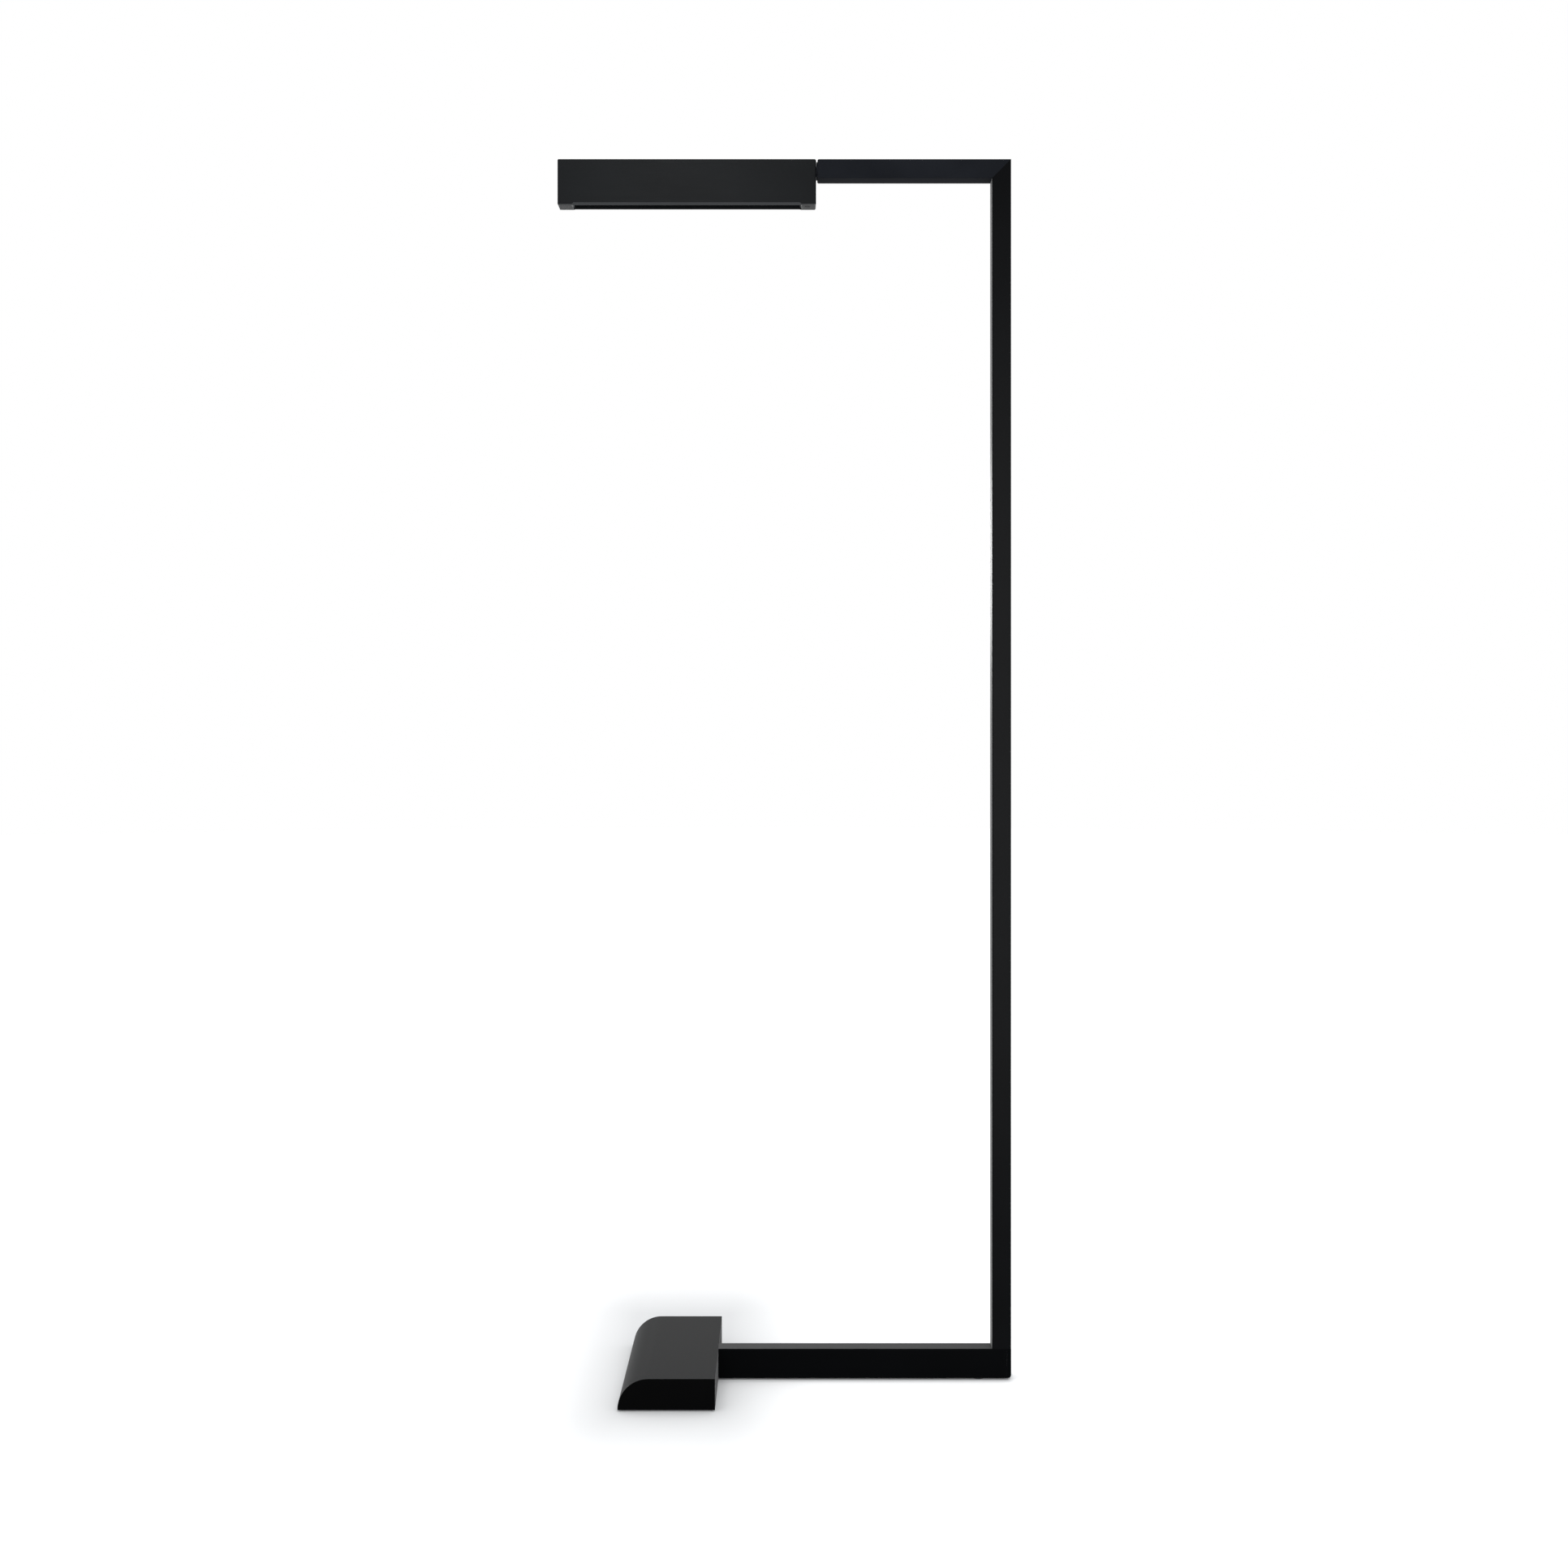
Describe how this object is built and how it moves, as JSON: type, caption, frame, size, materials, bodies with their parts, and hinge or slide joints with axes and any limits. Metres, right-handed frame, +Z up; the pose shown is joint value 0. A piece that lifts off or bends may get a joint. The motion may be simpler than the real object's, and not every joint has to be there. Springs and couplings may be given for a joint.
{
  "type": "floor light",
  "caption": "Free-standing C-frame floor light of square tube with a heavy block base and a slim LED bar head that turns on its arm and has a push dimmer.",
  "frame": {"origin": "on the floor, under the middle of the whole light", "axes": "+X from the base block towards the post, along the foot bar, the arm and the head; +Y towards the back, where the cord inlet is; +Z up"},
  "size_m": [0.478, 0.204, 1.286],
  "materials": {
    "powder_coated_steel": "matte",
    "black_aluminium": "matte",
    "cast_base": "matte",
    "grey_felt": "matte",
    "black_nylon": "satin",
    "black_oxide_steel": "satin",
    "zinc_steel": "satin",
    "spindle_steel": "polished",
    "spacer_brass": "satin",
    "sink_aluminium": "satin",
    "opal_acrylic": "satin",
    "white_board": "satin",
    "green_board": "satin",
    "led_phosphor": "gloss",
    "black_components": "matte",
    "terminal_nylon": "satin",
    "black_cable": "matte",
    "red_wire": "gloss",
    "spring_steel": "polished"
  },
  "bodies": {
    "frame": {"base_block": "cast_base", "base_pad": "grey_felt", "base_bolts": "zinc_steel", "bar_tenon": "zinc_steel", "tenon_bolts": "black_oxide_steel", "foot_bar": "powder_coated_steel", "foot_bar_end_cap": "powder_coated_steel", "end_cap_screw": "black_oxide_steel", "foot_glide": "black_nylon", "cable_gland": "black_nylon", "gland_nut": "black_nylon", "terminal_block": "terminal_nylon", "terminal_screws": "spacer_brass", "supply_lead": "black_cable", "post_root_block": "zinc_steel", "post_bolts": "black_oxide_steel", "post_set_screws": "black_oxide_steel", "post_tube": "powder_coated_steel", "arm_tube": "powder_coated_steel", "mitre_corner_block": "sink_aluminium", "corner_screws": "black_oxide_steel", "arm_end_plug": "black_aluminium", "plug_screws": "black_oxide_steel", "stop_pin": "spindle_steel", "swivel_spindle": "spindle_steel", "spindle_lock_nut": "zinc_steel", "friction_washer": "black_nylon", "spring_washer": "spring_steel", "spindle_nut": "zinc_steel"},
    "head": {"swivel_bush": "black_nylon", "head_housing": "black_aluminium", "outer_end_cap": "black_aluminium", "inner_end_cap": "black_aluminium", "cap_screws": "black_oxide_steel", "heat_sink": "sink_aluminium", "led_board": "white_board", "led_chips": "led_phosphor", "board_screws": "zinc_steel", "diffuser": "opal_acrylic", "driver_board": "green_board", "driver_components": "black_components", "driver_spacers": "spacer_brass", "driver_screws": "zinc_steel", "head_lead": "black_cable", "led_wires": "red_wire", "button_spring": "spring_steel", "tact_switch": "black_components", "switch_board": "green_board", "switch_wires": "red_wire"},
    "button": {"dimmer_button": "black_aluminium"}
  },
  "joints": [
    {"name": "head_swivel", "type": "hinge", "parent": "frame", "child": "head", "pos_m": [0.034, 0, 1.276], "axis": [1, 0, 0], "range_deg": [-90, 90]},
    {"name": "dimmer_button_press", "type": "slide", "parent": "head", "child": "button", "axis": [0, 0, 1], "range_m": [0, 0.0008], "stiffness_N_per_m": 900, "springref_m": -0.0008, "deforming": ["button_spring"]}
  ]
}
